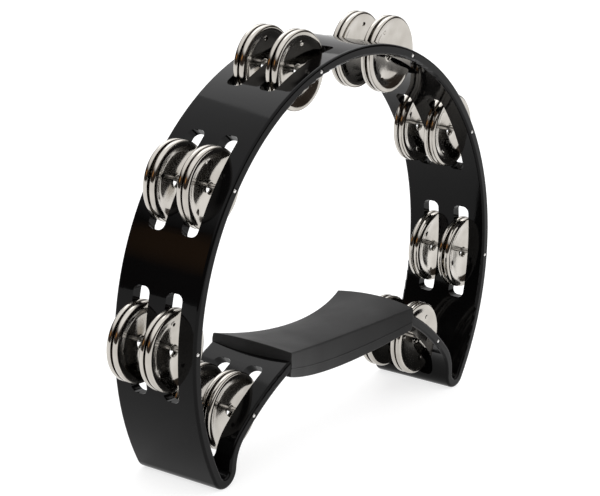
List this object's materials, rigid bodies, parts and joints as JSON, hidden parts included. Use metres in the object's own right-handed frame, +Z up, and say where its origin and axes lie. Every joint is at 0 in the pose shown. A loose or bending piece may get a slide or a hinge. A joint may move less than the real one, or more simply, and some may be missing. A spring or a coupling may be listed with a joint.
{
  "type": "half-moon tambourine",
  "caption": "Half-moon hand tambourine: arched moulded frame, saddle grip on a curved handle bar, and rows of back-to-back metal jingles on cross pins.",
  "frame": {"origin": "on the ground, midway between the two feet and midway through the depth", "axes": "+X across the instrument from left foot to right foot, +Y from the front rim to the back rim, +Z up to the top of the arch"},
  "size_m": [0.27, 0.045, 0.1941],
  "materials": {
    "frame_plastic": "high-gloss black moulded ABS",
    "grip_rubber": "matt dark grey soft rubber",
    "jingle_nickel": "bright nickel plate on pressed steel",
    "pin_steel": "bright drawn steel"
  },
  "bodies": {
    "frame": {"frame": "frame_plastic", "grip_sleeve": "grip_rubber", "pin_right_1": "pin_steel", "pin_left_1": "pin_steel", "pin_right_2": "pin_steel", "pin_left_2": "pin_steel", "pin_right_3": "pin_steel", "pin_left_3": "pin_steel", "pin_right_4": "pin_steel", "pin_left_4": "pin_steel"},
    "jingle_right_1_front_inner": {"jingle_right_1_front_inner": "jingle_nickel"},
    "jingle_right_1_front_outer": {"jingle_right_1_front_outer": "jingle_nickel"},
    "jingle_right_1_back_inner": {"jingle_right_1_back_inner": "jingle_nickel"},
    "jingle_right_1_back_outer": {"jingle_right_1_back_outer": "jingle_nickel"},
    "jingle_left_1_front_inner": {"jingle_left_1_front_inner": "jingle_nickel"},
    "jingle_left_1_front_outer": {"jingle_left_1_front_outer": "jingle_nickel"},
    "jingle_left_1_back_inner": {"jingle_left_1_back_inner": "jingle_nickel"},
    "jingle_left_1_back_outer": {"jingle_left_1_back_outer": "jingle_nickel"},
    "jingle_right_2_front_inner": {"jingle_right_2_front_inner": "jingle_nickel"},
    "jingle_right_2_front_outer": {"jingle_right_2_front_outer": "jingle_nickel"},
    "jingle_right_2_back_inner": {"jingle_right_2_back_inner": "jingle_nickel"},
    "jingle_right_2_back_outer": {"jingle_right_2_back_outer": "jingle_nickel"},
    "jingle_left_2_front_inner": {"jingle_left_2_front_inner": "jingle_nickel"},
    "jingle_left_2_front_outer": {"jingle_left_2_front_outer": "jingle_nickel"},
    "jingle_left_2_back_inner": {"jingle_left_2_back_inner": "jingle_nickel"},
    "jingle_left_2_back_outer": {"jingle_left_2_back_outer": "jingle_nickel"},
    "jingle_right_3_front_inner": {"jingle_right_3_front_inner": "jingle_nickel"},
    "jingle_right_3_front_outer": {"jingle_right_3_front_outer": "jingle_nickel"},
    "jingle_right_3_back_inner": {"jingle_right_3_back_inner": "jingle_nickel"},
    "jingle_right_3_back_outer": {"jingle_right_3_back_outer": "jingle_nickel"},
    "jingle_left_3_front_inner": {"jingle_left_3_front_inner": "jingle_nickel"},
    "jingle_left_3_front_outer": {"jingle_left_3_front_outer": "jingle_nickel"},
    "jingle_left_3_back_inner": {"jingle_left_3_back_inner": "jingle_nickel"},
    "jingle_left_3_back_outer": {"jingle_left_3_back_outer": "jingle_nickel"},
    "jingle_right_4_front_inner": {"jingle_right_4_front_inner": "jingle_nickel"},
    "jingle_right_4_front_outer": {"jingle_right_4_front_outer": "jingle_nickel"},
    "jingle_right_4_back_inner": {"jingle_right_4_back_inner": "jingle_nickel"},
    "jingle_right_4_back_outer": {"jingle_right_4_back_outer": "jingle_nickel"},
    "jingle_left_4_front_inner": {"jingle_left_4_front_inner": "jingle_nickel"},
    "jingle_left_4_front_outer": {"jingle_left_4_front_outer": "jingle_nickel"},
    "jingle_left_4_back_inner": {"jingle_left_4_back_inner": "jingle_nickel"},
    "jingle_left_4_back_outer": {"jingle_left_4_back_outer": "jingle_nickel"}
  },
  "joints": [
    {"name": "spin_right_1_front", "type": "hinge", "parent": "frame", "child": "jingle_right_1_front_inner", "pos_m": [0.03667, -0.008, 0.17594], "axis": [0, 1, 0], "continuous": true},
    {"name": "clash_right_1_front", "type": "slide", "parent": "jingle_right_1_front_inner", "child": "jingle_right_1_front_outer", "axis": [0, -1, 0], "range_m": [0, 0.00195]},
    {"name": "spin_right_1_back", "type": "hinge", "parent": "frame", "child": "jingle_right_1_back_inner", "pos_m": [0.03667, 0.01, 0.17594], "axis": [0, 1, 0], "continuous": true},
    {"name": "clash_right_1_back", "type": "slide", "parent": "jingle_right_1_back_inner", "child": "jingle_right_1_back_outer", "axis": [0, -1, 0], "range_m": [0, 0.00195]},
    {"name": "spin_left_1_front", "type": "hinge", "parent": "frame", "child": "jingle_left_1_front_inner", "pos_m": [-0.03667, -0.008, 0.17594], "axis": [0, 1, 0], "continuous": true},
    {"name": "clash_left_1_front", "type": "slide", "parent": "jingle_left_1_front_inner", "child": "jingle_left_1_front_outer", "axis": [0, -1, 0], "range_m": [0, 0.00195]},
    {"name": "spin_left_1_back", "type": "hinge", "parent": "frame", "child": "jingle_left_1_back_inner", "pos_m": [-0.03667, 0.01, 0.17594], "axis": [0, 1, 0], "continuous": true},
    {"name": "clash_left_1_back", "type": "slide", "parent": "jingle_left_1_back_inner", "child": "jingle_left_1_back_outer", "axis": [0, -1, 0], "range_m": [0, 0.00195]},
    {"name": "spin_right_2_front", "type": "hinge", "parent": "frame", "child": "jingle_right_2_front_inner", "pos_m": [0.09568, -0.008, 0.13204], "axis": [0, 1, 0], "continuous": true},
    {"name": "clash_right_2_front", "type": "slide", "parent": "jingle_right_2_front_inner", "child": "jingle_right_2_front_outer", "axis": [0, -1, 0], "range_m": [0, 0.00195]},
    {"name": "spin_right_2_back", "type": "hinge", "parent": "frame", "child": "jingle_right_2_back_inner", "pos_m": [0.09568, 0.01, 0.13204], "axis": [0, 1, 0], "continuous": true},
    {"name": "clash_right_2_back", "type": "slide", "parent": "jingle_right_2_back_inner", "child": "jingle_right_2_back_outer", "axis": [0, -1, 0], "range_m": [0, 0.00195]},
    {"name": "spin_left_2_front", "type": "hinge", "parent": "frame", "child": "jingle_left_2_front_inner", "pos_m": [-0.09568, -0.008, 0.13204], "axis": [0, 1, 0], "continuous": true},
    {"name": "clash_left_2_front", "type": "slide", "parent": "jingle_left_2_front_inner", "child": "jingle_left_2_front_outer", "axis": [0, -1, 0], "range_m": [0, 0.00195]},
    {"name": "spin_left_2_back", "type": "hinge", "parent": "frame", "child": "jingle_left_2_back_inner", "pos_m": [-0.09568, 0.01, 0.13204], "axis": [0, 1, 0], "continuous": true},
    {"name": "clash_left_2_back", "type": "slide", "parent": "jingle_left_2_back_inner", "child": "jingle_left_2_back_outer", "axis": [0, -1, 0], "range_m": [0, 0.00195]},
    {"name": "spin_right_3_front", "type": "hinge", "parent": "frame", "child": "jingle_right_3_front_inner", "pos_m": [0.1168, -0.008, 0.06525], "axis": [0, 1, 0], "continuous": true},
    {"name": "clash_right_3_front", "type": "slide", "parent": "jingle_right_3_front_inner", "child": "jingle_right_3_front_outer", "axis": [0, -1, 0], "range_m": [0, 0.00195]},
    {"name": "spin_right_3_back", "type": "hinge", "parent": "frame", "child": "jingle_right_3_back_inner", "pos_m": [0.1168, 0.01, 0.06525], "axis": [0, 1, 0], "continuous": true},
    {"name": "clash_right_3_back", "type": "slide", "parent": "jingle_right_3_back_inner", "child": "jingle_right_3_back_outer", "axis": [0, -1, 0], "range_m": [0, 0.00195]},
    {"name": "spin_left_3_front", "type": "hinge", "parent": "frame", "child": "jingle_left_3_front_inner", "pos_m": [-0.1168, -0.008, 0.06525], "axis": [0, 1, 0], "continuous": true},
    {"name": "clash_left_3_front", "type": "slide", "parent": "jingle_left_3_front_inner", "child": "jingle_left_3_front_outer", "axis": [0, -1, 0], "range_m": [0, 0.00195]},
    {"name": "spin_left_3_back", "type": "hinge", "parent": "frame", "child": "jingle_left_3_back_inner", "pos_m": [-0.1168, 0.01, 0.06525], "axis": [0, 1, 0], "continuous": true},
    {"name": "clash_left_3_back", "type": "slide", "parent": "jingle_left_3_back_inner", "child": "jingle_left_3_back_outer", "axis": [0, -1, 0], "range_m": [0, 0.00195]},
    {"name": "spin_right_4_front", "type": "hinge", "parent": "frame", "child": "jingle_right_4_front_inner", "pos_m": [0.07606, -0.008, 0.02797], "axis": [0, 1, 0], "continuous": true},
    {"name": "clash_right_4_front", "type": "slide", "parent": "jingle_right_4_front_inner", "child": "jingle_right_4_front_outer", "axis": [0, -1, 0], "range_m": [0, 0.00195]},
    {"name": "spin_right_4_back", "type": "hinge", "parent": "frame", "child": "jingle_right_4_back_inner", "pos_m": [0.07606, 0.01, 0.02797], "axis": [0, 1, 0], "continuous": true},
    {"name": "clash_right_4_back", "type": "slide", "parent": "jingle_right_4_back_inner", "child": "jingle_right_4_back_outer", "axis": [0, -1, 0], "range_m": [0, 0.00195]},
    {"name": "spin_left_4_front", "type": "hinge", "parent": "frame", "child": "jingle_left_4_front_inner", "pos_m": [-0.07606, -0.008, 0.02797], "axis": [0, 1, 0], "continuous": true},
    {"name": "clash_left_4_front", "type": "slide", "parent": "jingle_left_4_front_inner", "child": "jingle_left_4_front_outer", "axis": [0, -1, 0], "range_m": [0, 0.00195]},
    {"name": "spin_left_4_back", "type": "hinge", "parent": "frame", "child": "jingle_left_4_back_inner", "pos_m": [-0.07606, 0.01, 0.02797], "axis": [0, 1, 0], "continuous": true},
    {"name": "clash_left_4_back", "type": "slide", "parent": "jingle_left_4_back_inner", "child": "jingle_left_4_back_outer", "axis": [0, -1, 0], "range_m": [0, 0.00195]}
  ]
}
